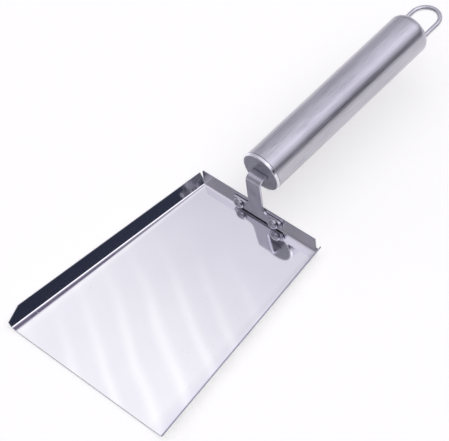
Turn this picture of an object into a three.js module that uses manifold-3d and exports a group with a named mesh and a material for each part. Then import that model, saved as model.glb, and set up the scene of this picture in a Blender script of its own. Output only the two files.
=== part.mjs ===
// Stainless steel bench scraper: a folded sheet pan with three low walls, a flat
// tee bracket riveted to its back wall, and a hollow round handle with a wire
// hanging loop.  Millimetres, +Z up, the open front edge towards -Y, the handle
// towards +Y.  The origin is the middle of the bounding box, on the bench.
import * as THREE from 'three';
import { mergeVertices } from 'three/addons/utils/BufferGeometryUtils.js';
import Module from 'manifold-3d';

const wasm = await Module();
wasm.setup();

// ---- driving dimensions ----------------------------------------------------
const gap = 0.25;                 // clearance between pieces that touch

const sheet = 0.8;                // pan sheet thickness
const backWidth = 84.4;           // floor width at the back fold
const frontWidth = 114.6;         // floor width at the open front edge
const floorLength = 138.8;        // front edge to back fold
const foldRadius = 0.8;           // inside radius of the folds
const sideLean = 28.6;            // degrees outward from vertical
const sideSlopeBack = 7.3;        // side wall height at the back, along the wall
const sideSlopeFront = 8.9;       // side wall height at the front, along the wall
const backLean = 3.8;             // degrees backward from vertical
const backSlope = 10.2;           // back wall height, along the wall
const backOverhang = 0.4;         // back wall end past the floor's corner
const notchBottom = 3.0;          // corner seams are closed below this height
const chamferRun = 9.7;           // front corner cut, along the wall's top
const chamferLow = 4.0;           // front corner cut, height where it starts

const strap = 1.5;                // bracket plate thickness
const strapWidth = 10.4;          // width of the stem and the tang
const armSpan = 37.0;             // tee arms, tip to tip
const armLow = 2.2;               // lower edge of the arms above the pan floor
const armHigh = 8.3;              // upper edge of the arms above the pan floor
const armEndRadius = 2.6;         // rounded corners at the arm tips
const teeFillet = 3.6;            // concave corners between arms and stem
const strapBend = 2.6;            // inside radius of the bend below the handle
const tangLength = 24.0;          // tang inside the handle, behind the cap face

const rivetSpacing = 25.7;        // between the two rivets
const rivetHeight = 5.0;          // rivet axis above the fold, along the back wall
const rivetHeadRadius = 3.6;
const rivetHeadHeight = 2.1;
const rivetTailRadius = 2.9;
const rivetTailHeight = 1.1;
const rivetShank = 1.6;           // shank radius

const handleRadius = 12.7;        // one inch tube
const handleWall = 0.8;
const handleLength = 130.8;       // seam behind the cap to the end of the dome
const domeRadius = 5.5;           // rounding of the closed rear end
const handleTilt = 1.0;           // degrees, rear end up
const seamBack = 9.2;             // seam plane behind the back fold
const seamHeight = 31.0;          // handle axis above the pan floor, at the seam

const capRim = 2.0;               // visible length of the front cap
const capFace = 1.2;              // thickness of its face
const capEdge = 0.7;              // rounding between rim and face
const capGroove = 0.3;            // width and depth of the ring groove
const spigotLength = 6.0;         // part of the cap inside the tube
const spigotWall = 1.0;
const slotPlay = 0.4;             // slot clearance around the strap

const wire = 3.0;                 // hanging loop wire diameter
const loopSpacing = 18.0;         // between the centres of the two legs
const loopReach = 10.1;           // dome end to the centre of the loop's bow
const loopInside = 7.0;           // straight leg inside the dome
const loopHook = 2.6;             // centre line radius of the clinched ends
const loopHookTail = 1.6;         // straight tail after each clinch

const roundSegments = 40;

// ---- finishes --------------------------------------------------------------
const mirrorSteel = new THREE.MeshStandardMaterial({ color: 0xd9d8e0, metalness: 1, roughness: 0.06 });
const satinSteel = new THREE.MeshStandardMaterial({ color: 0xb4b3bd, metalness: 1, roughness: 0.3 });
const brushedSteel = new THREE.MeshStandardMaterial({ color: 0xc2c1c9, metalness: 1, roughness: 0.35 });
const polishedSteel = new THREE.MeshStandardMaterial({ color: 0xc8c8cf, metalness: 1, roughness: 0.12 });

// ---- helpers ---------------------------------------------------------------
const radians = THREE.MathUtils.degToRad;
const up = new THREE.Vector3(0, 0, 1);

function toSolid(geometry, matrix = new THREE.Matrix4()) {
  const bare = geometry.clone().applyMatrix4(matrix);
  bare.deleteAttribute('normal');
  bare.deleteAttribute('uv');
  const welded = mergeVertices(bare, 1e-4);
  return new wasm.Manifold(new wasm.Mesh({
    numProp: 3,
    vertProperties: new Float32Array(welded.attributes.position.array),
    triVerts: new Uint32Array(welded.index.array),
  }));
}

function toGeometry(solid) {
  const mesh = solid.getMesh();
  const geometry = new THREE.BufferGeometry();
  geometry.setAttribute('position', new THREE.BufferAttribute(new Float32Array(mesh.vertProperties), 3));
  geometry.setIndex(new THREE.BufferAttribute(new Uint32Array(mesh.triVerts), 1));
  geometry.computeVertexNormals();
  return geometry;
}

function namedMesh(name, geometry, material) {
  const mesh = new THREE.Mesh(geometry, material);
  mesh.name = name;
  return mesh;
}

function shapeFrom(points) {
  return new THREE.Shape(points.map(([x, y]) => new THREE.Vector2(x, y)));
}

function extrude(shape, depth, curveSegments = 8) {
  return new THREE.ExtrudeGeometry(shape, { depth, bevelEnabled: false, curveSegments });
}

// Frame whose x axis is "across", y axis is "rise" and z axis completes it.
function frameAt(origin, across, rise) {
  const along = new THREE.Vector3().crossVectors(across, rise);
  return new THREE.Matrix4().makeBasis(across, rise, along).setPosition(origin);
}

// ---- pan -------------------------------------------------------------------
// One fold line per wall: the point where the inner faces of floor and wall
// would meet, the horizontal outward direction, and the wall's lean.
const far = 200;
const cutDepth = 12;
const backCorner = new THREE.Vector3(-backWidth / 2, 0, 0);
const frontCorner = new THREE.Vector3(-frontWidth / 2, -floorLength, 0);
const sideRun = frontCorner.clone().sub(backCorner);
const sideOutward = new THREE.Vector3().crossVectors(sideRun, up).normalize();
if (sideOutward.x > 0) sideOutward.negate();

const mirrored = (v) => new THREE.Vector3(-v.x, v.y, v.z);
const folds = {
  left: { start: backCorner, end: frontCorner, outward: sideOutward, lean: radians(sideLean) },
  right: {
    start: mirrored(backCorner), end: mirrored(frontCorner),
    outward: mirrored(sideOutward), lean: radians(sideLean),
  },
  back: {
    start: backCorner, end: mirrored(backCorner),
    outward: new THREE.Vector3(0, 1, 0), lean: radians(backLean),
  },
};

// Space above the floor and inside one wall, grown outward by "offset".
function wallSide(fold, offset, height) {
  const tangent = foldRadius * Math.tan((Math.PI / 2 - fold.lean) / 2);
  const top = new THREE.Vector2(
    height * Math.sin(fold.lean) + offset * Math.cos(fold.lean),
    height * Math.cos(fold.lean) - offset * Math.sin(fold.lean),
  );
  const shape = new THREE.Shape();
  shape.moveTo(-far, -offset);
  shape.lineTo(-tangent, -offset);
  shape.absarc(-tangent, foldRadius, foldRadius + offset, -Math.PI / 2, -fold.lean, false);
  shape.lineTo(top.x, top.y);
  shape.lineTo(-far, top.y);
  const frame = frameAt(fold.start, fold.outward, up);
  return toSolid(extrude(shape, 2 * far).translate(0, 0, -far), frame);
}

function trayVolume(offset, height) {
  return wallSide(folds.left, offset, height)
    .intersect(wallSide(folds.right, offset, height))
    .intersect(wallSide(folds.back, offset, height));
}

// Frame on a wall: x runs along the fold to the front, y up the wall's slope.
function wallFrame(fold) {
  const slope = fold.outward.clone().multiplyScalar(Math.sin(fold.lean));
  slope.addScaledVector(up, Math.cos(fold.lean));
  const along = fold.end.clone().sub(fold.start).normalize();
  return frameAt(fold.start, along, slope);
}

// Removes an outline drawn on a wall, close to the wall's own sheet.
function wallCut(fold, points) {
  const depth = 2 * (sheet + 1);
  const geometry = extrude(shapeFrom(points), depth).translate(0, 0, -depth / 2);
  return toSolid(geometry, wallFrame(fold));
}

// Everything above the top edge of a wall, from its start to its end height.
function aboveWall(fold, startSlope, endSlope) {
  const length = fold.end.distanceTo(fold.start);
  const rise = (endSlope - startSlope) / length * cutDepth;
  return wallCut(fold, [
    [-cutDepth, startSlope - rise],
    [length + cutDepth, endSlope + rise],
    [length + cutDepth, far / 4],
    [-cutDepth, far / 4],
  ]);
}

// Open vee between the end of the back wall and the end of a side wall.
function cornerNotch(fold) {
  const spread = (height) => height * Math.tan(fold.lean);
  const section = shapeFrom([
    [backOverhang, notchBottom],
    [spread(notchBottom), notchBottom],
    [spread(2 * cutDepth), 2 * cutDepth],
    [backOverhang, 2 * cutDepth],
  ]);
  const geometry = extrude(section, cutDepth).translate(0, 0, -cutDepth / 2);
  return toSolid(geometry, frameAt(fold.start, fold.outward, up));
}

const backSlopeDirection = new THREE.Vector3(0, Math.sin(radians(backLean)), Math.cos(radians(backLean)));
const backInward = new THREE.Vector3(0, -Math.cos(radians(backLean)), Math.sin(radians(backLean)));

// Point on the back wall: sideways, up the slope, and inward off its face.
function onBackWall(x, slope, inward) {
  return new THREE.Vector3(x, 0, 0)
    .addScaledVector(backSlopeDirection, slope)
    .addScaledVector(backInward, inward);
}

// Round bar along the back wall's normal, for rivet holes.
function holeThroughBackWall(x, radius) {
  const bar = new THREE.CylinderGeometry(radius, radius, cutDepth, 24);
  const turn = new THREE.Quaternion().setFromUnitVectors(new THREE.Vector3(0, 1, 0), backInward);
  const place = new THREE.Matrix4().makeRotationFromQuaternion(turn);
  place.setPosition(onBackWall(x, rivetHeight, 0));
  return toSolid(bar, place);
}

function makePan() {
  const tall = 1.5 * cutDepth;
  const room = new THREE.BoxGeometry(far, far, far).translate(0, far / 2 - floorLength, 0);
  let pan = trayVolume(sheet, tall).intersect(toSolid(room)).subtract(trayVolume(0, 2 * tall));
  const length = sideRun.length();
  for (const fold of [folds.left, folds.right]) {
    pan = pan.subtract(cornerNotch(fold));
    pan = pan.subtract(aboveWall(fold, sideSlopeBack, sideSlopeFront));
    const chamferDrop = (sideSlopeFront - chamferLow) / chamferRun;
    const chamfer = [
      [length - 2 * chamferRun, sideSlopeFront + chamferDrop * chamferRun],
      [length + chamferRun, chamferLow - chamferDrop * chamferRun],
      [length + chamferRun, 3 * cutDepth],
      [length - 2 * chamferRun, 3 * cutDepth],
    ];
    pan = pan.subtract(wallCut(fold, chamfer));
  }
  pan = pan.subtract(aboveWall(folds.back, backSlope, backSlope));
  for (const x of [-rivetSpacing / 2, rivetSpacing / 2]) {
    pan = pan.subtract(holeThroughBackWall(x, rivetShank + gap));
  }
  return namedMesh('blade_pan', toGeometry(pan), mirrorSteel);
}

// ---- tee bracket -----------------------------------------------------------
// Side view of the bent strap, (y, z) above the pan floor: up the back wall,
// round the bend and back along the handle axis.
function makeBracket() {
  const tilt = radians(handleTilt);
  const lean = radians(backLean);
  const rearFace = gap;
  const tangBottom = seamHeight - seamBack * Math.tan(tilt) - strap / 2 / Math.cos(tilt);
  // The bend's centre lies one inside radius behind the stem and below the tang.
  const stemOffset = rearFace - strapBend;
  const centreZ = (tangBottom + Math.tan(tilt) * -stemOffset / Math.cos(lean) - strapBend / Math.cos(tilt))
    / (1 - Math.tan(tilt) * Math.tan(lean));
  const centreY = -stemOffset / Math.cos(lean) + centreZ * Math.tan(lean);
  const outer = strapBend + strap;
  const tangEnd = tangLength + seamBack - capRim;
  const bendStart = Math.PI - lean;
  const bendEnd = Math.PI / 2 + tilt;
  const foot = onBackWall(0, armLow, rearFace);
  const along = new THREE.Vector2(Math.cos(tilt), Math.sin(tilt));
  const rise = new THREE.Vector2(-Math.sin(tilt), Math.cos(tilt));
  const tangRun = (tangEnd - centreY) / along.x;
  const tang = (radius) => [
    centreY + rise.x * radius + along.x * tangRun,
    centreZ + rise.y * radius + along.y * tangRun,
  ];

  const side = new THREE.Shape();
  side.moveTo(foot.y, foot.z);
  side.absarc(centreY, centreZ, strapBend, bendStart, bendEnd, true);
  side.lineTo(...tang(strapBend));
  side.lineTo(...tang(outer));
  side.absarc(centreY, centreZ, outer, bendEnd, bendStart, false);
  const footFront = onBackWall(0, armLow, rearFace + strap);
  side.lineTo(footFront.y, footFront.z);

  // Front view, (x, z): rounded arms with a stem rising from the middle.
  const half = armSpan / 2;
  const stem = strapWidth / 2;
  const top = 2 * seamHeight;
  const front = new THREE.Shape();
  front.moveTo(-half + armEndRadius, 0);
  front.lineTo(half - armEndRadius, 0);
  front.absarc(half - armEndRadius, armLow + armEndRadius, armEndRadius, -Math.PI / 2, 0, false);
  front.absarc(half - armEndRadius, armHigh - armEndRadius, armEndRadius, 0, Math.PI / 2, false);
  front.absarc(stem + teeFillet, armHigh + teeFillet, teeFillet, -Math.PI / 2, -Math.PI, true);
  front.lineTo(stem, top);
  front.lineTo(-stem, top);
  front.absarc(-stem - teeFillet, armHigh + teeFillet, teeFillet, 0, -Math.PI / 2, true);
  front.absarc(-half + armEndRadius, armHigh - armEndRadius, armEndRadius, Math.PI / 2, Math.PI, false);
  front.absarc(-half + armEndRadius, armLow + armEndRadius, armEndRadius, Math.PI, 1.5 * Math.PI, false);

  const yz = new THREE.Matrix4().makeBasis(
    new THREE.Vector3(0, 1, 0), new THREE.Vector3(0, 0, 1), new THREE.Vector3(1, 0, 0),
  );
  const xz = new THREE.Matrix4().makeBasis(
    new THREE.Vector3(1, 0, 0), new THREE.Vector3(0, 0, 1), new THREE.Vector3(0, -1, 0),
  );
  let bracket = toSolid(extrude(side, far, 10).translate(0, 0, -far / 2), yz)
    .intersect(toSolid(extrude(front, far, 8).translate(0, 0, -far / 2), xz));
  for (const x of [-rivetSpacing / 2, rivetSpacing / 2]) {
    bracket = bracket.subtract(holeThroughBackWall(x, rivetShank + gap));
  }
  return namedMesh('neck_bracket', toGeometry(bracket), satinSteel);
}

// ---- rivets ----------------------------------------------------------------
// Lathe profiles run from the axis at the low end to the axis at the high end.
function makeRivet(name, x) {
  const headBase = gap + strap + gap;
  const tailBase = -sheet - gap;
  const profile = [new THREE.Vector2(0, tailBase - rivetTailHeight)];
  profile.push(new THREE.Vector2(0.75 * rivetTailRadius, tailBase - rivetTailHeight));
  profile.push(new THREE.Vector2(rivetTailRadius, tailBase - 0.5 * rivetTailHeight));
  profile.push(new THREE.Vector2(rivetTailRadius, tailBase));
  profile.push(new THREE.Vector2(rivetShank, tailBase));
  profile.push(new THREE.Vector2(rivetShank, headBase));
  const domeSteps = 7;
  for (let i = 0; i <= domeSteps; i += 1) {
    const angle = (i / domeSteps) * Math.PI / 2;
    profile.push(new THREE.Vector2(
      i === domeSteps ? 0 : rivetHeadRadius * Math.cos(angle),
      headBase + rivetHeadHeight * Math.sin(angle),
    ));
  }
  const rivet = namedMesh(name, new THREE.LatheGeometry(profile, 24), polishedSteel);
  rivet.position.copy(onBackWall(x, rivetHeight, 0));
  rivet.quaternion.setFromUnitVectors(new THREE.Vector3(0, 1, 0), backInward);
  return rivet;
}

// ---- handle, built along +Y with the seam plane at y = 0 ---------------------
function arcPoints(cx, cy, radius, from, to, steps) {
  const points = [];
  for (let i = 0; i <= steps; i += 1) {
    const angle = from + (to - from) * (i / steps);
    points.push(new THREE.Vector2(cx + radius * Math.cos(angle), cy + radius * Math.sin(angle)));
  }
  return points;
}

function makeHandleTube() {
  const flat = handleRadius - domeRadius;
  const domeY = handleLength - domeRadius;
  const innerRadius = domeRadius - handleWall;
  const profile = [
    new THREE.Vector2(handleRadius - handleWall, 0),
    new THREE.Vector2(handleRadius, 0),
    ...arcPoints(flat, domeY, domeRadius, 0, Math.PI / 2, 8),
    new THREE.Vector2(0, handleLength),
    new THREE.Vector2(0, handleLength - handleWall),
    ...arcPoints(flat, domeY, innerRadius, Math.PI / 2, 0, 8),
    new THREE.Vector2(handleRadius - handleWall, 0),
  ];
  let tube = toSolid(new THREE.LatheGeometry(profile, roundSegments));
  for (const x of [-loopSpacing / 2, loopSpacing / 2]) {
    const hole = new THREE.CylinderGeometry(wire / 2 + gap, wire / 2 + gap, 2 * cutDepth, 20);
    tube = tube.subtract(toSolid(hole.translate(x, handleLength, 0)));
  }
  return namedMesh('handle_tube', toGeometry(tube), brushedSteel);
}

function makeFrontCap() {
  const spigot = handleRadius - handleWall - gap;
  const grooveY = -gap - (capRim - gap - capEdge) / 2;
  const profile = [
    new THREE.Vector2(0, -capRim),
    ...arcPoints(handleRadius - capEdge, capEdge - capRim, capEdge, -Math.PI / 2, 0, 4),
    new THREE.Vector2(handleRadius, grooveY - capGroove / 2),
    new THREE.Vector2(handleRadius - capGroove, grooveY),
    new THREE.Vector2(handleRadius, grooveY + capGroove / 2),
    new THREE.Vector2(handleRadius, -gap),
    new THREE.Vector2(spigot, -gap),
    new THREE.Vector2(spigot, spigotLength),
    new THREE.Vector2(spigot - spigotWall, spigotLength),
    new THREE.Vector2(spigot - spigotWall, capFace - capRim),
    new THREE.Vector2(0, capFace - capRim),
  ];
  const slot = new THREE.BoxGeometry(strapWidth + 2 * slotPlay, cutDepth, strap + 2 * slotPlay);
  const cap = toSolid(new THREE.LatheGeometry(profile, roundSegments)).subtract(toSolid(slot));
  return namedMesh('front_cap', toGeometry(cap), brushedSteel);
}

// Weld bead along one flat side of the tang, against the back of the cap face.
function makeTangWeld(name, side) {
  const leg = 1.8;
  const section = new THREE.Shape();
  section.moveTo(0, 0);
  section.lineTo(leg, 0);
  section.quadraticCurveTo(0.6 * leg, 0.6 * leg, 0, leg);
  const bead = extrude(section, strapWidth - 1, 4);
  const frame = new THREE.Matrix4().makeBasis(
    new THREE.Vector3(0, 1, 0), new THREE.Vector3(0, 0, 1), new THREE.Vector3(1, 0, 0),
  );
  bead.translate(0, 0, (1 - strapWidth) / 2).applyMatrix4(frame);
  bead.translate(0, capFace - capRim + gap, strap / 2 + gap);
  const mesh = namedMesh(name, bead, satinSteel);
  if (side < 0) mesh.rotation.y = Math.PI;
  return mesh;
}

function makeHangingLoop() {
  const half = loopSpacing / 2;
  const bowY = handleLength + loopReach;
  const hookY = handleLength - loopInside;
  const route = new THREE.Path();
  route.moveTo(-half + loopHook + loopHookTail, hookY - loopHook);
  route.lineTo(-half + loopHook, hookY - loopHook);
  route.absarc(-half + loopHook, hookY, loopHook, -Math.PI / 2, -Math.PI, true);
  route.lineTo(-half, bowY);
  route.absarc(0, bowY, half, Math.PI, 0, true);
  route.lineTo(half, hookY);
  route.absarc(half - loopHook, hookY, loopHook, 0, -Math.PI / 2, true);
  route.lineTo(half - loopHook - loopHookTail, hookY - loopHook);
  const steps = 72;
  const points = route.getSpacedPoints(steps).map((p) => new THREE.Vector3(p.x, p.y, 0));
  const section = new THREE.Shape();
  section.absarc(0, 0, wire / 2, 0, 2 * Math.PI, false);
  const geometry = new THREE.ExtrudeGeometry(section, {
    extrudePath: new THREE.CatmullRomCurve3(points),
    steps,
    curveSegments: 6,
    bevelEnabled: false,
  });
  return namedMesh('hanging_loop', geometry, polishedSteel);
}

// ---- assembly --------------------------------------------------------------
const handle = new THREE.Group();
handle.position.set(0, seamBack, seamHeight);
handle.rotation.x = radians(handleTilt);
handle.add(makeHandleTube());
handle.add(makeFrontCap());
handle.add(makeTangWeld('tang_weld_upper', 1));
handle.add(makeTangWeld('tang_weld_lower', -1));
handle.add(makeHangingLoop());

const tool = new THREE.Group();
tool.add(makePan());
tool.add(makeBracket());
tool.add(makeRivet('rivet_left', -rivetSpacing / 2));
tool.add(makeRivet('rivet_right', rivetSpacing / 2));
tool.add(handle);

// Stand the tool on z = 0 with its bounding box centred on the origin.
const box = new THREE.Box3().setFromObject(tool, true);
const middle = box.getCenter(new THREE.Vector3());
tool.position.set(-middle.x, -middle.y, -box.min.z);

const benchScraper = new THREE.Group();
benchScraper.add(tool);

export default benchScraper;
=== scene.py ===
"""Stainless steel bench scraper: polished folded pan, riveted tee bracket, brushed handle."""
import math

import bmesh
import bpy
from mathutils import Matrix, Vector


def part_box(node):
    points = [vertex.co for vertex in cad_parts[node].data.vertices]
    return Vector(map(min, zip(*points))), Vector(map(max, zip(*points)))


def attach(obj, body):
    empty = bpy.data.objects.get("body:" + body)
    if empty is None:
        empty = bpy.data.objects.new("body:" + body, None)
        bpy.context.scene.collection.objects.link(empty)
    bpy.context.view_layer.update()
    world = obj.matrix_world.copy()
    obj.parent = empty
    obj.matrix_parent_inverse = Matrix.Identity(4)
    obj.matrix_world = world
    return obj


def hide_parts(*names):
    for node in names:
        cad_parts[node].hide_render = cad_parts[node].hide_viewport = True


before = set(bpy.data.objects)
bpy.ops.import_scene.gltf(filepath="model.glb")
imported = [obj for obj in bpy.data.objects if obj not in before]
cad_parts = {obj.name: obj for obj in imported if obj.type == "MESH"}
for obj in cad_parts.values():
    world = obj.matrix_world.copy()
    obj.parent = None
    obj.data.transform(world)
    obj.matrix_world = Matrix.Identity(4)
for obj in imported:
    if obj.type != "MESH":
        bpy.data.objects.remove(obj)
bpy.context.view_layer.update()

MM = 0.001

# ---- sizes, in millimetres -------------------------------------------------
SHEET = 0.8                 # pan sheet thickness
BACK_WIDTH = 84.4           # floor width at the back fold
FRONT_WIDTH = 114.6         # floor width at the open front edge
FLOOR_LENGTH = 138.8        # front edge to back fold
FOLD_RADIUS = 0.8           # inside radius of the folds
SIDE_LEAN = math.radians(28.6)
SIDE_SLOPE_BACK = 7.3       # side wall height at the back, along the wall
SIDE_SLOPE_FRONT = 8.9      # side wall height at the front, along the wall
BACK_LEAN = math.radians(3.8)
BACK_SLOPE = 10.2           # back wall height, along the wall
BACK_OVERHANG = 0.4         # back wall end past the floor's corner
NOTCH_BOTTOM = 3.0          # corner seams are closed below this height
CHAMFER_RUN = 9.7           # front corner cut, along the wall's top
CHAMFER_LOW = 4.0           # front corner cut, height where it starts

STRAP = 1.5                 # bracket plate thickness
STRAP_WIDTH = 10.4          # width of the stem and the tang
ARM_SPAN = 37.0             # tee arms, tip to tip
ARM_LOW = 2.2               # lower edge of the arms above the pan floor
ARM_HIGH = 8.3              # upper edge of the arms above the pan floor
ARM_END_RADIUS = 2.6
TEE_FILLET = 3.6            # concave corners between arms and stem
STRAP_BEND = 2.6            # inside radius of the bend below the handle
TANG_LENGTH = 24.0
CLEARANCE = 0.25            # between pieces that touch
STRAP_EDGE = 0.22           # rounding of the bracket's stamped edges

RIVET_SPACING = 25.7
RIVET_HEIGHT = 5.0          # rivet axis above the fold, along the back wall
RIVET_HEAD_RADIUS = 3.6
RIVET_HEAD_HEIGHT = 2.1
RIVET_TAIL_RADIUS = 2.9
RIVET_TAIL_HEIGHT = 1.1
RIVET_SHANK = 1.6
RIVET_TAIL_RIM = 0.3        # share of the tail's radius that is its round rim
RIVET_HEAD_LIP = 0.05       # lowest height of the dome's rim
RIVET_HEAD_SEAT = 0.1       # the head's seat is this much smaller than its rim

HANDLE_RADIUS = 12.7
HANDLE_WALL = 0.8
HANDLE_LENGTH = 130.8       # seam behind the cap to the end of the dome
DOME_RADIUS = 5.5
GRIP_EDGE = 0.25            # rounding of the tube's front edge
GRIP_LIP = 0.15             # flat inside that rounding
LOOP_HOLE_PLAY = 0.15       # round the wire, in the tube's rear end
HANDLE_TILT = math.radians(1.0)
SEAM_BACK = 9.2             # seam plane behind the back fold
SEAM_HEIGHT = 31.0          # handle axis above the pan floor, at the seam

CAP_RIM = 2.0
CAP_FACE = 1.2
CAP_EDGE = 0.55             # rounding of each of the cap's two ribs
CAP_GROOVE = 0.35           # depth of the groove between the ribs
CAP_GROOVE_MOUTH = 0.22     # the groove's front half, at the surface
CAP_GROOVE_FLOOR = 0.05     # and half of its floor
CAP_SEAM_GAP = 0.12         # between the cap and the tube
CAP_REAR_EDGE = 0.3         # rounding of the rear rib
CAP_REAR_START = 0.4        # middle of that rounding, behind the groove
CAP_RING_PITCH = 0.7        # between the fine turning rings on the cap
SPIGOT_LENGTH = 6.0
SPIGOT_WALL = 1.0
SLOT_PLAY = 0.4

WIRE = 3.0
LOOP_SPACING = 18.0
LOOP_REACH = 10.1
LOOP_INSIDE = 7.0
LOOP_HOOK = 2.6
LOOP_HOOK_TAIL = 1.6
WIRE_END_EDGE = 0.3         # rounding of the wire's cut ends

# Middle of the back fold on the pan's floor, and the handle's own frame.
pan_low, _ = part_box("blade_pan")
fold_origin = Vector((0, pan_low[1] + FLOOR_LENGTH * MM, pan_low[2] + SHEET * MM))
pan_frame = Matrix.Translation(fold_origin) @ Matrix.Scale(MM, 4)
handle_frame = (
    pan_frame
    @ Matrix.Translation((0, SEAM_BACK, SEAM_HEIGHT))
    @ Matrix.Rotation(HANDLE_TILT, 4, "X")
)


# ---- camera ----------------------------------------------------------------
CAMERA_AZIMUTH = math.radians(52.67)
CAMERA_ELEVATION = math.radians(49.28)
CAMERA_ROLL = math.radians(-12.78)
CAMERA_DISTANCE = 1.0333
CAMERA_LENS = 147.66
AIM = Vector((-14.2, -13.3, 0.0))       # millimetres from the middle of the back fold


def make_camera():
    data = bpy.data.cameras.new("camera")
    data.sensor_width = 36
    data.lens = CAMERA_LENS
    data.clip_start = 0.01
    data.clip_end = 50
    camera = bpy.data.objects.new("camera", data)
    bpy.context.scene.collection.objects.link(camera)
    back = Vector((
        math.sin(CAMERA_AZIMUTH) * math.cos(CAMERA_ELEVATION),
        -math.cos(CAMERA_AZIMUTH) * math.cos(CAMERA_ELEVATION),
        math.sin(CAMERA_ELEVATION),
    ))
    level = Vector((math.cos(CAMERA_AZIMUTH), math.sin(CAMERA_AZIMUTH), 0))
    rise = back.cross(level)
    right = level * math.cos(CAMERA_ROLL) + rise * math.sin(CAMERA_ROLL)
    top = back.cross(right)
    turn = Matrix((right, top, back)).transposed().to_4x4()
    camera.matrix_world = Matrix.Translation(pan_frame @ AIM + back * CAMERA_DISTANCE) @ turn
    bpy.context.scene.camera = camera


# ---- mesh helpers ----------------------------------------------------------
WELD = 0.002                # points closer than this, in millimetres, become one after a cut
ON_AXIS = 1e-6              # a smaller radius in a profile is a point on the axis
SMOOTH_ANGLE = math.radians(35)     # edges that turn further than this stay sharp


def new_object(name, mesh):
    obj = bpy.data.objects.new(name, mesh)
    bpy.context.scene.collection.objects.link(obj)
    return obj


def mesh_from(name, vertices, faces):
    mesh = bpy.data.meshes.new(name)
    mesh.from_pydata([tuple(v) for v in vertices], [], faces)
    bm = bmesh.new()
    bm.from_mesh(mesh)
    bmesh.ops.recalc_face_normals(bm, faces=bm.faces)
    bm.to_mesh(mesh)
    bm.free()
    return mesh


def arc(cx, cy, radius, start, end, steps):
    """Points on an arc, angles in radians, both ends included."""
    angles = [start + (end - start) * i / steps for i in range(steps + 1)]
    return [(cx + radius * math.cos(a), cy + radius * math.sin(a)) for a in angles]


def circle(radius, steps):
    return arc(0, 0, radius, 0, 2 * math.pi, steps)[:-1]


def loft(name, rings):
    """Closed solid through rings with the same number of points, ends capped."""
    count = len(rings[0])
    vertices = [v for ring in rings for v in ring]
    faces = [tuple(range(count)), tuple(range(len(vertices) - count, len(vertices)))]
    for r in range(len(rings) - 1):
        for i in range(count):
            j = (i + 1) % count
            faces.append((r * count + i, r * count + j, (r + 1) * count + j, (r + 1) * count + i))
    return new_object(name, mesh_from(name, vertices, faces))


def prism(name, outline, origin, across, rise, start, end):
    """Outline in the plane of across and rise, pushed along their cross product."""
    along = across.cross(rise)
    rings = []
    for depth in (start, end):
        rings.append([origin + across * x + rise * y + along * depth for x, y in outline])
    return loft(name, rings)


def lathe(name, profile, segments):
    """Turns a profile of (radius, y) about the Y axis; radius 0 points close the ends."""
    vertices = []
    rows = []
    for radius, y in profile:
        if radius < ON_AXIS:
            rows.append([len(vertices)] * segments)
            vertices.append((0, y, 0))
            continue
        rows.append(list(range(len(vertices), len(vertices) + segments)))
        for k in range(segments):
            angle = 2 * math.pi * k / segments
            vertices.append((radius * math.cos(angle), y, radius * math.sin(angle)))
    faces = []
    closed = profile[0][0] > ON_AXIS
    pairs = list(zip(rows, rows[1:])) + ([(rows[-1], rows[0])] if closed else [])
    for low, high in pairs:
        for k in range(segments):
            j = (k + 1) % segments
            face = []
            for v in (low[k], low[j], high[j], high[k]):
                if v not in face:
                    face.append(v)
            if len(face) > 2:
                faces.append(tuple(face))
    return new_object(name, mesh_from(name, vertices, faces))


def evaluated_mesh(obj):
    graph = bpy.context.evaluated_depsgraph_get()
    return bpy.data.meshes.new_from_object(obj.evaluated_get(graph))


def boolean(obj, tool, operation):
    """Cuts or joins with the tool, bakes the result into obj and deletes the tool."""
    modifier = obj.modifiers.new("boolean", "BOOLEAN")
    modifier.operation = operation
    modifier.solver = "EXACT"
    modifier.object = tool
    mesh = evaluated_mesh(obj)
    obj.modifiers.clear()
    obj.data = mesh
    bpy.data.objects.remove(tool)
    bm = bmesh.new()
    bm.from_mesh(mesh)
    bmesh.ops.remove_doubles(bm, verts=bm.verts, dist=WELD)
    bmesh.ops.dissolve_degenerate(bm, dist=WELD, edges=bm.edges)
    bm.to_mesh(mesh)
    bm.free()
    return obj


def soften(obj, width, angle=math.radians(40)):
    """Rounds the sharp edges and keeps large faces flat under smooth shading."""
    bevel = obj.modifiers.new("rounded edges", "BEVEL")
    bevel.width = width
    bevel.segments = 2
    bevel.limit_method = "ANGLE"
    bevel.angle_limit = angle
    bevel.use_clamp_overlap = True
    obj.data = evaluated_mesh(obj)
    obj.modifiers.clear()


def finish_piece(obj, matrix, material, slot, *nodes):
    """Puts the piece in place, shades it smooth, hangs it under the root body and hides its CAD nodes.

    A piece that already has materials keeps them.
    """
    obj.data.transform(matrix)
    if not obj.data.materials:
        obj.data.materials.append(material)
    obj.data.shade_smooth()
    bm = bmesh.new()
    bm.from_mesh(obj.data)
    for edge in bm.edges:
        edge.smooth = len(edge.link_faces) == 2 and edge.calc_face_angle(0) < SMOOTH_ANGLE
    bm.to_mesh(obj.data)
    bm.free()
    weighted = obj.modifiers.new("flat faces stay flat", "WEIGHTED_NORMAL")
    weighted.keep_sharp = True
    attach(obj, "root")
    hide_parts(*nodes)


# ---- materials -------------------------------------------------------------
NOISE_LOW = 0.3             # nearly all of a noise texture's values lie between these two
NOISE_HIGH = 0.7
NOISE_MIDDLE = (0.35, 0.65)         # and most of them between these


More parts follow.
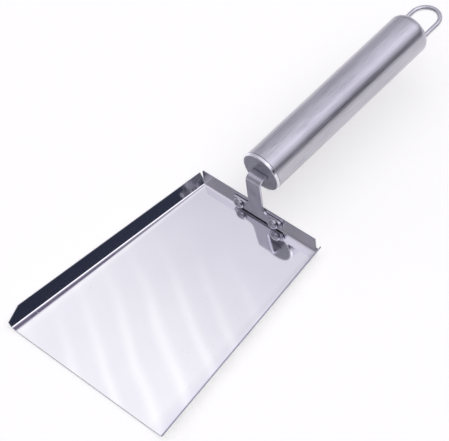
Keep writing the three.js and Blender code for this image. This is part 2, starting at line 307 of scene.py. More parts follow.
class Nodes:
    """Short names for building one material's node tree."""

    def __init__(self, name):
        self.material = bpy.data.materials.new(name)
        self.material.use_nodes = True
        self.tree = self.material.node_tree
        self.shader = self.tree.nodes["Principled BSDF"]
        self.place = self.add("ShaderNodeTexCoord").outputs["Object"]

    def add(self, kind, **settings):
        node = self.tree.nodes.new(kind)
        for key, value in settings.items():
            setattr(node, key, value)
        return node

    def link(self, source, target):
        self.tree.links.new(source, target)

    def noise(self, cells, detail, roughness=0.5, turn=(0, 0, 0)):
        """Noise with so many cells to the metre along X, Y and Z."""
        mapping = self.add("ShaderNodeMapping")
        mapping.inputs["Scale"].default_value = cells
        mapping.inputs["Rotation"].default_value = turn
        self.link(self.place, mapping.inputs["Vector"])
        node = self.add("ShaderNodeTexNoise")
        node.inputs["Scale"].default_value = 1.0
        node.inputs["Detail"].default_value = detail
        node.inputs["Roughness"].default_value = roughness
        self.link(mapping.outputs["Vector"], node.inputs["Vector"])
        return node.outputs["Fac"]

    def remap(self, value, low, high, to_low, to_high):
        node = self.add("ShaderNodeMapRange")
        for key, number in (
            ("From Min", low), ("From Max", high), ("To Min", to_low), ("To Max", to_high),
        ):
            node.inputs[key].default_value = number
        self.link(value, node.inputs["Value"])
        return node.outputs["Result"]

    def spread(self, noise, low, high):
        """A noise texture's values, spread from low to high."""
        return self.remap(noise, NOISE_LOW, NOISE_HIGH, low, high)

    def maths(self, operation, a, b=0.0):
        node = self.add("ShaderNodeMath", operation=operation)
        for socket, value in zip(node.inputs, (a, b)):
            if isinstance(value, (int, float)):
                socket.default_value = value
            else:
                self.link(value, socket)
        return node.outputs["Value"]

    def ramp(self, value, stops):
        node = self.add("ShaderNodeValToRGB")
        elements = node.color_ramp.elements
        while len(elements) < len(stops):
            elements.new(0.5)
        for element, (position, colour) in zip(elements, stops):
            element.position = position
            element.color = (*colour, 1)
        self.link(value, node.inputs["Fac"])
        return node.outputs["Color"]

    def shades(self, noise, dark, light):
        return self.ramp(noise, [(NOISE_LOW, dark), (NOISE_HIGH, light)])

    def bump(self, height, millimetres):
        node = self.add("ShaderNodeBump")
        node.inputs["Strength"].default_value = 1.0
        node.inputs["Distance"].default_value = millimetres * MM
        self.link(height, node.inputs["Height"])
        self.link(node.outputs["Normal"], self.shader.inputs["Normal"])

    def metal(self, colour, roughness):
        self.shader.inputs["Metallic"].default_value = 1.0
        self.link(colour, self.shader.inputs["Base Color"])
        self.link(roughness, self.shader.inputs["Roughness"])
        return self.material


# Places and sizes on the sheet, in millimetres.
# The streaks are painted reflections: lighter bands painted into the sheet's colour near the front.
STREAK_TURN = math.radians(60.5)    # streaks lie across this direction, from +X towards +Y
STREAK_PITCH = 17.1                 # from one streak to the next
STREAK_PLACE = -101.2               # one streak's distance from the origin, along that direction
STREAK_WANDER = 10.0                # how far apart their bends can lie
STREAK_POWER = 3.0                  # higher is narrower
PAINTED_REFLECTION_LIGHT = 0.72                 # a full painted reflection streak's step along the sheet's tones
STREAKS_BEGIN = -95.0               # full strength nearer the front than this Y
STREAKS_END = -38.0                 # and none further back than this
STREAKS_FAINT = -40.0               # faint on the left of this X
STREAKS_FULL = 5.0                  # and full on the right of this one
STREAK_FAINT_SHARE = 0.25           # how much of a streak is left where it is faint
DULL_CORNER_OUTSIDE = 2.0           # middle of each dull patch, outside the floor's back corner
DULL_CORNER_INNER = 8.0             # hand finishing leaves the back corners dull this far out
DULL_CORNER_OUTER = 19.0            # and polished again from here
DULL_CORNER_HAZE = 0.10             # roughness that it adds
DULL_ABOVE = 0.8                    # none of it on the floor: it begins at this height
DULL_FULLY_ABOVE = 2.0              # and is complete at this one
HAZE_SPAN = (0.35, 0.70)            # the part of the soft noise that turns into haze
HAZE_ROUGHNESS = (0.035, 0.07)      # and the roughness that it gives
PATCH_LIGHT = 0.22                  # step of the lightest patches along the sheet's tones
SCRATCH_CELLS = (25, 700, 200)      # long and thin, and turned a little
SCRATCH_TURN = math.radians(23)
SCRATCH_PEAKS = (0.60, 0.78)        # only the peaks of these two textures show
SPECK_PEAKS = (0.74, 0.80)
SCRATCH_HAZE = 0.03                 # roughness that each of them adds
SPECK_HAZE = 0.35


def mirror_sheet():
    """Rolled and polished sheet: soft haze, soft streaks of painted reflection near the front, fine
    marks.
    """
    n = Nodes("mirror polished sheet")
    haze = n.noise((22, 22, 22), 4)
    scratch = n.noise(SCRATCH_CELLS, 2, turn=(0, 0, SCRATCH_TURN))
    specks = n.noise((420, 420, 420), 2)
    split = n.add("ShaderNodeSeparateXYZ")
    n.link(n.place, split.inputs["Vector"])
    x, y, z = (split.outputs[axis] for axis in "XYZ")

    # Painted reflection streaks: diagonal lighter bands in the colour, strongest near the front and on
    # the right.
    across_x = n.maths("MULTIPLY", x, math.cos(STREAK_TURN))
    across_y = n.maths("MULTIPLY", y, math.sin(STREAK_TURN))
    across = n.maths("ADD", across_x, across_y)
    wander = n.maths("MULTIPLY", n.noise((16, 16, 16), 1), STREAK_WANDER * MM)
    turns = 2 * math.pi / (STREAK_PITCH * MM)
    phase = n.maths("MULTIPLY", n.maths("ADD", across, wander), turns)
    start = (STREAK_PLACE + STREAK_WANDER / 2) * MM * turns
    wave = n.maths("COSINE", n.maths("SUBTRACT", phase, start))
    crest = n.maths("POWER", n.remap(wave, -1.0, 1.0, 0.0, 1.0), STREAK_POWER)
    ahead = n.remap(y, STREAKS_END * MM, STREAKS_BEGIN * MM, 0.0, 1.0)
    inboard = n.remap(x, STREAKS_FAINT * MM, STREAKS_FULL * MM, STREAK_FAINT_SHARE, 1.0)
    painted_reflection_streak = n.maths("MULTIPLY", crest, n.maths("MULTIPLY", ahead, inboard))

    corner_x = (BACK_WIDTH / 2 + DULL_CORNER_OUTSIDE) * MM
    from_corner_x = n.maths("SUBTRACT", n.maths("ABSOLUTE", x), corner_x)
    from_corner_y = n.maths("SUBTRACT", y, fold_origin.y)
    squares = n.maths("ADD", n.maths("POWER", from_corner_x, 2.0), n.maths("POWER", from_corner_y, 2.0))
    from_corner = n.maths("SQRT", squares)
    near_corner = n.remap(
        from_corner, DULL_CORNER_OUTER * MM, DULL_CORNER_INNER * MM, 0.0, DULL_CORNER_HAZE,
    )
    wall_foot = fold_origin.z + DULL_ABOVE * MM
    up_wall = n.remap(z, wall_foot, fold_origin.z + DULL_FULLY_ABOVE * MM, 0.0, 1.0)
    corner_haze = n.maths("MULTIPLY", near_corner, up_wall)

    fine = n.remap(scratch, *SCRATCH_PEAKS, 0.0, SCRATCH_HAZE)
    speck = n.remap(specks, *SPECK_PEAKS, 0.0, SPECK_HAZE)
    marks = n.maths("ADD", n.maths("ADD", fine, speck), corner_haze)
    rough = n.maths("ADD", n.remap(haze, *HAZE_SPAN, *HAZE_ROUGHNESS), marks)
    patches = n.remap(haze, *NOISE_MIDDLE, 0.0, PATCH_LIGHT)
    # Random lighter patches, plus the painted reflection streaks lightening the colour.
    tone = n.maths("ADD", patches, n.maths("MULTIPLY", painted_reflection_streak, PAINTED_REFLECTION_LIGHT))
    colour = n.ramp(tone, [(0.0, (0.855, 0.845, 0.885)), (1.0, (0.985, 0.98, 0.995))])
    n.bump(n.noise((60, 60, 60), 2), 0.004)
    return n.metal(colour, rough)


def sheared_edge():
    """Cut edge of the sheet: fine lines through the thickness and a duller finish."""
    n = Nodes("sheared sheet edge")
    lines = n.noise((1500, 1500, 500), 3)
    colour = n.shades(lines, (0.24, 0.24, 0.29), (0.40, 0.40, 0.46))
    n.bump(lines, 0.02)
    return n.metal(colour, n.spread(lines, 0.38, 0.55))


def brushed_tube():
    """Fine lengthwise grain over broad soft patches."""
    n = Nodes("lengthwise brushed tube")
    grain = n.noise((2600, 45, 2600), 4, 0.6)
    patches = n.noise((60, 18, 60), 3)
    rough = n.maths("ADD", n.spread(grain, 0.26, 0.36), n.spread(patches, -0.02, 0.03))
    grain_share = 0.6
    tone = n.maths(
        "ADD", n.maths("MULTIPLY", grain, grain_share), n.maths("MULTIPLY", patches, 1 - grain_share),
    )
    colour = n.ramp(tone, [(0.36, (0.40, 0.39, 0.435)), (0.64, (0.62, 0.61, 0.66))])
    n.bump(grain, 0.02)
    return n.metal(colour, rough)


def satin_strap():
    n = Nodes("satin bracket steel")
    grain = n.noise((500, 500, 500), 5, 0.65)
    patches = n.noise((120, 120, 120), 3)
    rough = n.maths("ADD", n.spread(grain, 0.28, 0.4), n.remap(patches, *NOISE_MIDDLE, -0.03, 0.04))
    colour = n.shades(patches, (0.50, 0.49, 0.56), (0.62, 0.61, 0.68))
    n.bump(grain, 0.03)
    return n.metal(colour, rough)


def rivet_steel():
    n = Nodes("polished rivet")
    marks = n.noise((900, 900, 900), 4)
    colour = n.shades(marks, (0.44, 0.44, 0.49), (0.56, 0.56, 0.61))
    n.bump(marks, 0.01)
    return n.metal(colour, n.spread(marks, 0.16, 0.24))


def turned_cap():
    """Cap face with fine turning rings, and two polished ribs round its rim, painted lighter in colour
    as a highlight.
    """
    n = Nodes("turned cap")
    middle = n.add("ShaderNodeVectorMath", operation="SUBTRACT")
    n.link(n.place, middle.inputs[0])
    middle.inputs[1].default_value = handle_frame.translation
    flatten = n.add("ShaderNodeVectorMath", operation="MULTIPLY")
    n.link(middle.outputs["Vector"], flatten.inputs[0])
    flatten.inputs[1].default_value = (1, 0, 1)
    length = n.add("ShaderNodeVectorMath", operation="LENGTH")
    n.link(flatten.outputs["Vector"], length.inputs[0])
    radius = length.outputs["Value"]
    rings = n.maths("SINE", n.maths("MULTIPLY", radius, 2 * math.pi / (CAP_RING_PITCH * MM)))
    marks = n.noise((700, 700, 700), 4)

    face_radius = HANDLE_RADIUS - CAP_EDGE
    fade_width = 0.5
    rim = n.remap(radius, (face_radius - fade_width) * MM, face_radius * MM, 0.0, 1.0)
    # Painted highlight: the ribs are polished (lower roughness) and their colour is also painted lighter
    # than the face.
    painted_rim_highlight = 0.7
    marks_light = 0.4
    tone = n.maths("ADD", n.maths("MULTIPLY", marks, marks_light), n.maths("MULTIPLY", rim, painted_rim_highlight))
    colour = n.ramp(tone, [
        (0.1, (0.33, 0.33, 0.37)), (0.3, (0.45, 0.45, 0.49)), (0.85, (0.86, 0.86, 0.90)),
    ])
    rim_polish = 0.18
    rough = n.maths("SUBTRACT", n.spread(marks, 0.26, 0.36), n.maths("MULTIPLY", rim, rim_polish))
    ring_share = 0.3
    n.bump(n.maths("ADD", n.maths("MULTIPLY", rings, ring_share), marks), 0.01)
    return n.metal(colour, rough)


def drawn_wire():
    n = Nodes("bright drawn wire")
    lines = n.noise((2200, 120, 2200), 3)
    colour = n.shades(lines, (0.50, 0.50, 0.54), (0.68, 0.68, 0.72))
    n.bump(lines, 0.01)
    return n.metal(colour, n.spread(lines, 0.11, 0.19))


def weld_metal():
    n = Nodes("weld bead")
    ripple = n.noise((900, 1500, 900), 3)
    colour = n.ramp(ripple, [
        (0.3, (0.30, 0.27, 0.25)), (0.6, (0.50, 0.48, 0.47)), (0.8, (0.58, 0.52, 0.42)),
    ])
    n.bump(ripple, 0.1)
    return n.metal(colour, n.spread(ripple, 0.3, 0.55))


def floor_material():
    material = bpy.data.materials.new("pale floor")
    material.use_nodes = True
    shader = material.node_tree.nodes["Principled BSDF"]
    shader.inputs["Base Color"].default_value = (0.93, 0.93, 0.875, 1)
    shader.inputs["Roughness"].default_value = 0.9
    shader.inputs["Emission Color"].default_value = (1, 1, 1, 1)
    shader.inputs["Emission Strength"].default_value = 0.27
    shader.inputs["Specular IOR Level"].default_value = 0.0
    return material


# ---- pan -------------------------------------------------------------------
FAR = 200                          # well past the whole pan
CUT = 12                           # well past a wall's height
UP = Vector((0, 0, 1))
BEND_STEPS = 14
SWEEP_ANGLE = math.radians(5.5)    # slope of the floor's gentle sweep where the fold begins
SWEEP_BACK = 2.6                   # width of the sweep beside a side wall, at the back
SWEEP_FRONT = 9.5                  # and at the open front
SWEEP_BEHIND = 1.8                 # width of the sweep along the back wall
SWEEP_STEPS = 12
SWEEP_ROUNDS = 4                   # enough for the sweep and the bend to agree
back_corner = Vector((-BACK_WIDTH / 2, 0, 0))
front_corner = Vector((-FRONT_WIDTH / 2, -FLOOR_LENGTH, 0))


def mirrored(v):
    return Vector((-v.x, v.y, v.z))


class Fold:
    """A wall's fold line, outward direction, lean and the sweep's width at both its ends."""

    def __init__(self, start, end, outward, lean, sweep_start, sweep_end):
        self.start = start
        self.sweep_start = sweep_start
        self.sweep_end = sweep_end
        self.length = (end - start).length
        self.along = (end - start).normalized()
        self.outward = outward
        self.slope = outward * math.sin(lean) + UP * math.cos(lean)
        self.lean = lean


side_outward = Vector((-FLOOR_LENGTH, (FRONT_WIDTH - BACK_WIDTH) / 2, 0)).normalized()
left_fold = Fold(back_corner, front_corner, side_outward, SIDE_LEAN, SWEEP_BACK, SWEEP_FRONT)
right_fold = Fold(
    mirrored(back_corner), mirrored(front_corner), mirrored(side_outward),
    SIDE_LEAN, SWEEP_BACK, SWEEP_FRONT,
)
back_fold = Fold(
    back_corner, mirrored(back_corner), Vector((0, 1, 0)), BACK_LEAN, SWEEP_BEHIND, SWEEP_BEHIND,
)


def fold_outline(fold, offset, height, sweep):
    """Floor, gentle sweep, tight bend and wall, in the plane across the fold.

    The bend starts where the sweep ends, and the sweep's rise lifts the bend, so the two are
    worked out in turn.
    """
    rise = 0.0
    for _ in range(SWEEP_ROUNDS):
        centre_z = FOLD_RADIUS * math.cos(SWEEP_ANGLE) + rise
        centre_x = -(FOLD_RADIUS - centre_z * math.sin(fold.lean)) / math.cos(fold.lean)
        begin = -centre_x - FOLD_RADIUS * math.sin(SWEEP_ANGLE)
        rise = math.tan(SWEEP_ANGLE) * (sweep - begin) / 2
    outline = [(-FAR, -offset)]
    for i in range(SWEEP_STEPS):
        share = i / SWEEP_STEPS
        turn = math.atan(share * math.tan(SWEEP_ANGLE))
        x = -sweep + share * (sweep - begin)
        outline.append((x + offset * math.sin(turn), rise * share * share - offset * math.cos(turn)))
    outline += arc(
        centre_x, centre_z, FOLD_RADIUS + offset, -math.pi / 2 + SWEEP_ANGLE, -fold.lean, BEND_STEPS,
    )
    top_x = height * math.sin(fold.lean) + offset * math.cos(fold.lean)
    top_z = height * math.cos(fold.lean) - offset * math.sin(fold.lean)
    return outline + [(top_x, top_z), (-FAR, top_z)]


def wall_side(fold, offset, height):
    """Space above the floor and inside one wall, grown outward by offset."""
    rings = []
    for depth in (-FAR / 4, 0, fold.length, fold.length + FAR / 4):
        share = min(max(depth / fold.length, 0), 1)
        sweep = fold.sweep_start + (fold.sweep_end - fold.sweep_start) * share
        origin = fold.start + fold.along * depth
        outline = fold_outline(fold, offset, height, sweep)
        rings.append([origin + fold.outward * x + UP * z for x, z in outline])
    return loft("side", rings)


def tray_volume(offset, height):
    tray = wall_side(left_fold, offset, height)
    boolean(tray, wall_side(right_fold, offset, height), "INTERSECT")
    return boolean(tray, wall_side(back_fold, offset, height), "INTERSECT")


def wall_cut(fold, outline):
    """Outline drawn on a wall: along the fold from its start, and up the slope."""
    depth = SHEET + 1
    return prism("cut", outline, fold.start, fold.along, fold.slope, -depth, depth)


def above_wall(fold, start_height, end_height):
    rise = (end_height - start_height) / fold.length * CUT
    return wall_cut(fold, [
        (-CUT, start_height - rise),
        (fold.length + CUT, end_height + rise),
        (fold.length + CUT, FAR / 4),
        (-CUT, FAR / 4),
    ])


def corner_notch(fold):
    """Open vee between the end of the back wall and the end of a side wall."""
    spread = math.tan(fold.lean)
    outline = [
        (BACK_OVERHANG, NOTCH_BOTTOM),
        (spread * NOTCH_BOTTOM, NOTCH_BOTTOM),
        (spread * 2 * CUT, 2 * CUT),
        (BACK_OVERHANG, 2 * CUT),
    ]
    return prism("notch", outline, fold.start, fold.outward, UP, -CUT / 2, CUT / 2)


def front_chamfer(fold):
    drop = (SIDE_SLOPE_FRONT - CHAMFER_LOW) / CHAMFER_RUN
    return wall_cut(fold, [
        (fold.length - 2 * CHAMFER_RUN, SIDE_SLOPE_FRONT + drop * CHAMFER_RUN),
        (fold.length + CHAMFER_RUN, CHAMFER_LOW - drop * CHAMFER_RUN),
        (fold.length + CHAMFER_RUN, 3 * CUT),
        (fold.length - 2 * CHAMFER_RUN, 3 * CUT),
    ])


back_up = back_fold.slope
back_inward = Vector((0, -math.cos(BACK_LEAN), math.sin(BACK_LEAN)))


def on_back_wall(x, slope, inward):
    return Vector((x, 0, 0)) + back_up * slope + back_inward * inward


def rivet_hole(x):
    radius = RIVET_SHANK + CLEARANCE
    centre = on_back_wall(x, RIVET_HEIGHT, 0)
    return prism("hole", circle(radius, steps=32), centre, Vector((1, 0, 0)), back_up, -CUT / 2, CUT / 2)


def rivet_places():
    return (("left", -RIVET_SPACING / 2), ("right", RIVET_SPACING / 2))


def make_pan():
    """Polished on its faces, and duller wherever a cut went through the sheet."""
    polished = mirror_sheet()
    sheared = sheared_edge()
    tall = 1.5 * CUT
    pan = tray_volume(SHEET, tall)

    def shear(tool, operation="DIFFERENCE"):
        for material in (polished, sheared):
            tool.data.materials.append(material)
        for face in tool.data.polygons:
            face.material_index = 1
        boolean(pan, tool, operation)

    for material in (polished, sheared):
        pan.data.materials.append(material)
    room = [(-FAR, -FLOOR_LENGTH), (FAR, -FLOOR_LENGTH), (FAR, FAR), (-FAR, FAR)]
    shear(prism("room", room, Vector(), Vector((1, 0, 0)), Vector((0, 1, 0)), -FAR, FAR), "INTERSECT")
    boolean(pan, tray_volume(0, 2 * tall), "DIFFERENCE")
    for fold in (left_fold, right_fold):
        shear(corner_notch(fold))
        shear(above_wall(fold, SIDE_SLOPE_BACK, SIDE_SLOPE_FRONT))
        shear(front_chamfer(fold))
    shear(above_wall(back_fold, BACK_SLOPE, BACK_SLOPE))
    for _, x in rivet_places():
        shear(rivet_hole(x))
    pan.name = "folded_pan"
    finish_piece(pan, pan_frame, polished, "blade_pan", "blade_pan")


# ---- tee bracket -----------------------------------------------------------
def make_bracket():
    rear = CLEARANCE
    tilt = HANDLE_TILT
    lean = BACK_LEAN
    tang_bottom = SEAM_HEIGHT - SEAM_BACK * math.tan(tilt) - STRAP / 2 / math.cos(tilt)
    stem_offset = rear - STRAP_BEND
    centre_z = (
        tang_bottom + math.tan(tilt) * -stem_offset / math.cos(lean) - STRAP_BEND / math.cos(tilt)
    ) / (1 - math.tan(tilt) * math.tan(lean))
    centre_y = -stem_offset / math.cos(lean) + centre_z * math.tan(lean)
    tang_end = TANG_LENGTH + SEAM_BACK - CAP_RIM
    bend_start = math.pi - lean
    bend_end = math.pi / 2 + tilt
    outer = STRAP_BEND + STRAP
    run = (tang_end - centre_y) / math.cos(tilt)

    def tang(radius):
        return (
            centre_y - math.sin(tilt) * radius + math.cos(tilt) * run,
            centre_z + math.cos(tilt) * radius + math.sin(tilt) * run,
        )

    foot = on_back_wall(0, ARM_LOW, rear)
    foot_front = on_back_wall(0, ARM_LOW, rear + STRAP)
    side = [(foot.y, foot.z)]
    side += arc(centre_y, centre_z, STRAP_BEND, bend_start, bend_end, steps=14)
    side += [tang(STRAP_BEND), tang(outer)]
    side += arc(centre_y, centre_z, outer, bend_end, bend_start, steps=14)
    side += [(foot_front.y, foot_front.z)]
    bracket = prism("tee_bracket", side, Vector(), Vector((0, 1, 0)), UP, -FAR, FAR)

    half = ARM_SPAN / 2
    stem = STRAP_WIDTH / 2
    end = ARM_END_RADIUS
    right_half = [(half - end, 0)]
    right_half += arc(half - end, ARM_LOW + end, end, -math.pi / 2, 0, steps=8)
    right_half += arc(half - end, ARM_HIGH - end, end, 0, math.pi / 2, steps=8)
    right_half += arc(
        stem + TEE_FILLET, ARM_HIGH + TEE_FILLET, TEE_FILLET, -math.pi / 2, -math.pi, steps=10,
    )
    right_half += [(stem, 2 * SEAM_HEIGHT)]
    outline = right_half + [(-x, y) for x, y in reversed(right_half)]
    front = prism("front", outline, Vector(), Vector((1, 0, 0)), UP, -FAR, FAR)
    boolean(bracket, front, "INTERSECT")
    for _, x in rivet_places():
        boolean(bracket, rivet_hole(x), "DIFFERENCE")
    soften(bracket, STRAP_EDGE)
    finish_piece(bracket, pan_frame, satin_strap(), "neck_bracket", "neck_bracket")


# ---- rivets ----------------------------------------------------------------
def make_rivet(side, x, material):
    head_base = CLEARANCE + STRAP + CLEARANCE
    tail_base = -SHEET - CLEARANCE
    tail_end = tail_base - RIVET_TAIL_HEIGHT
    rim = RIVET_TAIL_RIM * RIVET_TAIL_RADIUS
    flat = RIVET_TAIL_RADIUS - rim
    # The tail's round rim stands proud of its flat middle.
    profile = [(0, tail_end), (flat, tail_end)]
    profile += arc(flat, tail_base - rim, rim, -math.pi / 2, 0, steps=5)[1:]
    profile += [(RIVET_TAIL_RADIUS, tail_base), (RIVET_SHANK, tail_base), (RIVET_SHANK, head_base)]
    profile += [(RIVET_HEAD_RADIUS - RIVET_HEAD_SEAT, head_base)]
    dome_steps = 15
    for i in range(dome_steps + 1):
        angle = i / dome_steps * math.pi / 2
        radius = 0 if i == dome_steps else RIVET_HEAD_RADIUS * math.cos(angle)
        height = RIVET_HEAD_HEIGHT * math.sin(angle)
        profile.append((radius, head_base + max(height, RIVET_HEAD_LIP)))
    rivet = lathe(f"dome_rivet_{side}", profile, segments=48)
    across = Vector((1, 0, 0))
    turn = Matrix((across, back_inward, across.cross(back_inward))).transposed().to_4x4()
    place = pan_frame @ Matrix.Translation(on_back_wall(x, RIVET_HEIGHT, 0)) @ turn
    finish_piece(rivet, place, material, "rivets", f"rivet_{side}")


# ---- handle ----------------------------------------------------------------
GRIP_SEGMENTS = 128


def make_grip():
    flat = HANDLE_RADIUS - DOME_RADIUS
    dome_y = HANDLE_LENGTH - DOME_RADIUS
    inner = HANDLE_RADIUS - HANDLE_WALL
    edge_x = HANDLE_RADIUS - GRIP_EDGE
    profile = [(inner, 0), (inner + GRIP_LIP, 0), (edge_x, 0)]
    profile += arc(edge_x, GRIP_EDGE, GRIP_EDGE, -math.pi / 2, 0, steps=4)[1:]
    profile += arc(flat, dome_y, DOME_RADIUS, 0, math.pi / 2, steps=20)
    profile += [(flat / 2, HANDLE_LENGTH), (0, HANDLE_LENGTH), (0, dome_y), (inner, dome_y)]
    body = lathe("brushed_grip", profile, GRIP_SEGMENTS)
    bore = [(0, -CUT), (inner, -CUT)]
    bore += arc(flat, dome_y, DOME_RADIUS - HANDLE_WALL, 0, math.pi / 2, steps=10)
    bore += [(0, HANDLE_LENGTH - HANDLE_WALL)]
    boolean(body, lathe("bore", bore, GRIP_SEGMENTS), "DIFFERENCE")
    hole = circle(WIRE / 2 + LOOP_HOLE_PLAY, steps=32)
    for x in (-LOOP_SPACING / 2, LOOP_SPACING / 2):
        centre = Vector((x, HANDLE_LENGTH, 0))
        drill = prism("drill", hole, centre, Vector((0, 0, 1)), Vector((1, 0, 0)), -2 * DOME_RADIUS, CUT)
        boolean(body, drill, "DIFFERENCE")
    finish_piece(body, handle_frame, brushed_tube(), "handle_tube", "handle_tube")


def make_cap():
    spigot = HANDLE_RADIUS - HANDLE_WALL - CLEARANCE
    seam = -CAP_SEAM_GAP
    rib = (CAP_RIM + seam) / 2
    r = HANDLE_RADIUS
    profile = [(0, -CAP_RIM)]
    profile += arc(r - CAP_EDGE, CAP_EDGE - CAP_RIM, CAP_EDGE, -math.pi / 2, 0, steps=6)
    groove = seam - rib
    profile += [(r, groove - CAP_GROOVE_MOUTH)]
    profile += [(r - CAP_GROOVE, groove + side * CAP_GROOVE_FLOOR) for side in (-1, 1)]
    rear_x = r - CAP_REAR_EDGE
    profile += arc(rear_x, groove + CAP_REAR_START, CAP_REAR_EDGE, -math.pi / 3, 0, steps=4)
    profile += arc(rear_x, seam - CAP_REAR_EDGE, CAP_REAR_EDGE, 0, math.pi / 2, steps=4)
    profile += [(spigot, seam), (spigot, SPIGOT_LENGTH), (spigot - SPIGOT_WALL, SPIGOT_LENGTH)]
    profile += [(spigot - SPIGOT_WALL, CAP_FACE - CAP_RIM), (0, CAP_FACE - CAP_RIM)]
    cap = lathe("slotted_cap", profile, GRIP_SEGMENTS)
    width = STRAP_WIDTH / 2 + SLOT_PLAY
    height = STRAP / 2 + SLOT_PLAY
    outline = [(-width, -height), (width, -height), (width, height), (-width, height)]
    slot = prism("slot", outline, Vector(), Vector((1, 0, 0)), UP, -CUT, CUT)
    boolean(cap, slot, "DIFFERENCE")
    finish_piece(cap, handle_frame, turned_cap(), "front_cap", "front_cap")


def make_loop():
    """Bent wire: clinched ends inside the grip, two straight legs and a round bow."""
    half = LOOP_SPACING / 2
    bow_y = HANDLE_LENGTH + LOOP_REACH
    hook_y = HANDLE_LENGTH - LOOP_INSIDE
    hook_x = half - LOOP_HOOK
    left = [(-hook_x + LOOP_HOOK_TAIL, hook_y - LOOP_HOOK)]
    left += arc(-hook_x, hook_y, LOOP_HOOK, -math.pi / 2, -math.pi, steps=8)
    leg_steps = 6
    left += [(-half, hook_y + (bow_y - hook_y) * i / leg_steps) for i in range(1, leg_steps)]
    left += arc(0, bow_y, half, math.pi, math.pi / 2, steps=16)
    route = [Vector((x, y, 0)) for x, y in left]
    route += [Vector((-p.x, p.y, 0)) for p in reversed(route[:-1])]
    rings = []
    for i, point in enumerate(route):
        ahead = (route[min(i + 1, len(route) - 1)] - route[max(i - 1, 0)]).normalized()
        across = ahead.cross(UP)
        rings.append([point + across * a + UP * b for a, b in circle(WIRE / 2, steps=20)])
    loop = loft("wire_loop", rings)
    soften(loop, WIRE_END_EDGE, math.radians(60))
    finish_piece(loop, handle_frame, drawn_wire(), "hanging_loop", "hanging_loop")


def finish_welds():
    material = weld_metal()
    for node in ("tang_weld_upper", "tang_weld_lower"):
        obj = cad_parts[node]
        obj.data.materials.clear()
        obj.data.materials.append(material)


# ---- stage and light -------------------------------------------------------
FLOOR_SIZE = 3.0                        # metres
TILT_LIMIT = 120                        # the tilts between which the room's tone changes
ROOM_TINT = (-0.012, -0.03, 0.075)      # the room's light is slightly violet
NAVY = (0.035, 0.040, 0.066)            # the dark +X side of the room
DEEP_NAVY = (0.016, 0.021, 0.038)
DARK_BAND = (0.12, 0.10, 0.17)          # a narrow dark stripe
FRONT_FADES_IN = (0.42, 0.31)           # depths over which the front's own tones take over
FRONT_FADES_OUT = (0.16, 0.26)
MIX_FACTOR, MIX_A, MIX_B, MIX_RESULT = 0, 6, 7, 2       # a colour mix node's sockets


def make_floor():
    half = FLOOR_SIZE / 2
    corners = [(-half, -half, 0), (half, -half, 0), (half, half, 0), (-half, half, 0)]
    floor = new_object("floor", mesh_from("floor", corners, [(0, 1, 2, 3)]))
    floor.data.materials.append(floor_material())


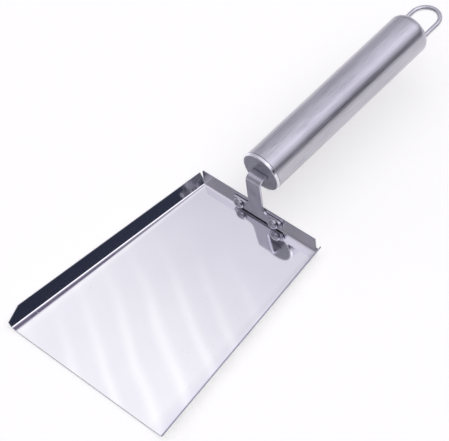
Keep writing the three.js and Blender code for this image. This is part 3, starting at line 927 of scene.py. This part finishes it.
def make_world():
    """Soft studio surround, worked out from the direction a ray leaves in.

    "Tilt" is the direction's angle from straight up towards +X, and "depth" is how far it
    points to +Y.  The +X side of the room is dark and there is a broad soft light overhead.
    The camera itself sees a plain pale backdrop.
    """
    world = bpy.data.worlds.new("studio")
    world.use_nodes = True
    bpy.context.scene.world = world
    tree = world.node_tree
    tree.nodes.clear()

    def add(kind, **settings):
        node = tree.nodes.new(kind)
        for key, value in settings.items():
            setattr(node, key, value)
        return node

    def maths(operation, a, b=0.0):
        node = add("ShaderNodeMath", operation=operation)
        for socket, value in zip(node.inputs, (a, b)):
            if isinstance(value, (int, float)):
                socket.default_value = value
            else:
                tree.links.new(value, socket)
        return node.outputs["Value"]

    def fade(value, low, high):
        node = add("ShaderNodeMapRange", interpolation_type="SMOOTHSTEP")
        node.inputs["From Min"].default_value = low
        node.inputs["From Max"].default_value = high
        tree.links.new(value, node.inputs["Value"])
        return node.outputs["Result"]

    def ramp(value, low, high, stops):
        share = add("ShaderNodeMapRange")
        share.inputs["From Min"].default_value = low
        share.inputs["From Max"].default_value = high
        tree.links.new(value, share.inputs["Value"])
        node = add("ShaderNodeValToRGB")
        elements = node.color_ramp.elements
        while len(elements) < len(stops):
            elements.new(0.5)
        for element, (place, colour) in zip(elements, stops):
            element.position = (place - low) / (high - low)
            element.color = (*colour, 1)
        tree.links.new(share.outputs["Result"], node.inputs["Fac"])
        return node.outputs["Color"]

    def grey(level, tint=1.0):
        return tuple(level * (1 + channel * tint) for channel in ROOM_TINT)

    place = add("ShaderNodeTexCoord")
    split = add("ShaderNodeSeparateXYZ")
    tree.links.new(place.outputs["Generated"], split.inputs["Vector"])
    east, depth, height = (split.outputs[axis] for axis in "XYZ")
    tilt = maths("MULTIPLY", maths("ARCTAN2", east, height), 180 / math.pi)

    general = ramp(tilt, -TILT_LIMIT, TILT_LIMIT, [
        (-TILT_LIMIT, grey(0.74)), (-80, grey(0.62)), (-60, grey(0.60)), (-37, grey(0.69)),
        (-31, grey(0.80)), (-26, grey(1.00)), (-14, grey(0.84)), (8, grey(1.02)),
        (23, grey(1.34)), (30, grey(1.78)), (38, grey(1.25)), (53, grey(1.05)),
        (62, grey(0.55)), (72, NAVY), (100, DEEP_NAVY),
    ])
    front = ramp(tilt, -TILT_LIMIT, TILT_LIMIT, [
        (-TILT_LIMIT, grey(0.74)), (-70, grey(0.74)), (-42, grey(0.90)), (-34, grey(0.97, 0.35)),
        (-29.2, grey(1.05, 0.3)), (-28.4, DARK_BAND), (-25.6, DARK_BAND),
        (-24.8, grey(1.20, 0.5)), (-23.0, grey(0.60, 0.5)), (-22.6, grey(1.20, 0.5)),
        (30, grey(1.60, 0.5)), (53, grey(1.05)), (62, grey(0.55)), (72, NAVY), (100, DEEP_NAVY),
    ])
    blend = add("ShaderNodeMix", data_type="RGBA")
    in_front = maths("MULTIPLY", fade(depth, *FRONT_FADES_IN), fade(depth, *FRONT_FADES_OUT))
    tree.links.new(in_front, blend.inputs[MIX_FACTOR])
    tree.links.new(general, blend.inputs[MIX_A])
    tree.links.new(front, blend.inputs[MIX_B])

    # The room dims towards +Y and, past a bright stretch, towards -Y.
    near = ramp(depth, -1, 1, [
        (-1.0, grey(0.56, 0)), (-0.66, grey(0.50, 0)), (-0.54, grey(0.36, 0)), (-0.46, grey(0.50, 0)),
        (-0.36, grey(1.05, 0)), (-0.15, grey(0.90, 0)), (0.10, grey(0.90, 0)), (0.22, grey(1.14, 0)),
        (0.28, grey(1.04, 0)), (0.42, grey(0.98, 0)), (0.60, grey(0.86, 0)), (1.0, grey(0.74, 0)),
    ])

    light = add("ShaderNodeBackground")
    shade = add("ShaderNodeMix", data_type="RGBA", blend_type="MULTIPLY")
    shade.inputs[MIX_FACTOR].default_value = 1.0
    tree.links.new(blend.outputs[MIX_RESULT], shade.inputs[MIX_A])
    tree.links.new(near, shade.inputs[MIX_B])
    tree.links.new(shade.outputs[MIX_RESULT], light.inputs["Color"])
    backdrop = add("ShaderNodeBackground")
    backdrop.inputs["Color"].default_value = (0.95, 0.95, 0.95, 1)
    seen = add("ShaderNodeLightPath")
    mix = add("ShaderNodeMixShader")
    tree.links.new(seen.outputs["Is Camera Ray"], mix.inputs["Fac"])
    tree.links.new(light.outputs["Background"], mix.inputs[1])
    tree.links.new(backdrop.outputs["Background"], mix.inputs[2])
    output = add("ShaderNodeOutputWorld")
    tree.links.new(mix.outputs["Shader"], output.inputs["Surface"])


make_camera()
bpy.context.scene.view_settings.view_transform = "Standard"
make_floor()
make_world()
make_pan()
make_bracket()
rivet_material = rivet_steel()
for side, x in rivet_places():
    make_rivet(side, x, rivet_material)
make_grip()
make_cap()
make_loop()
finish_welds()
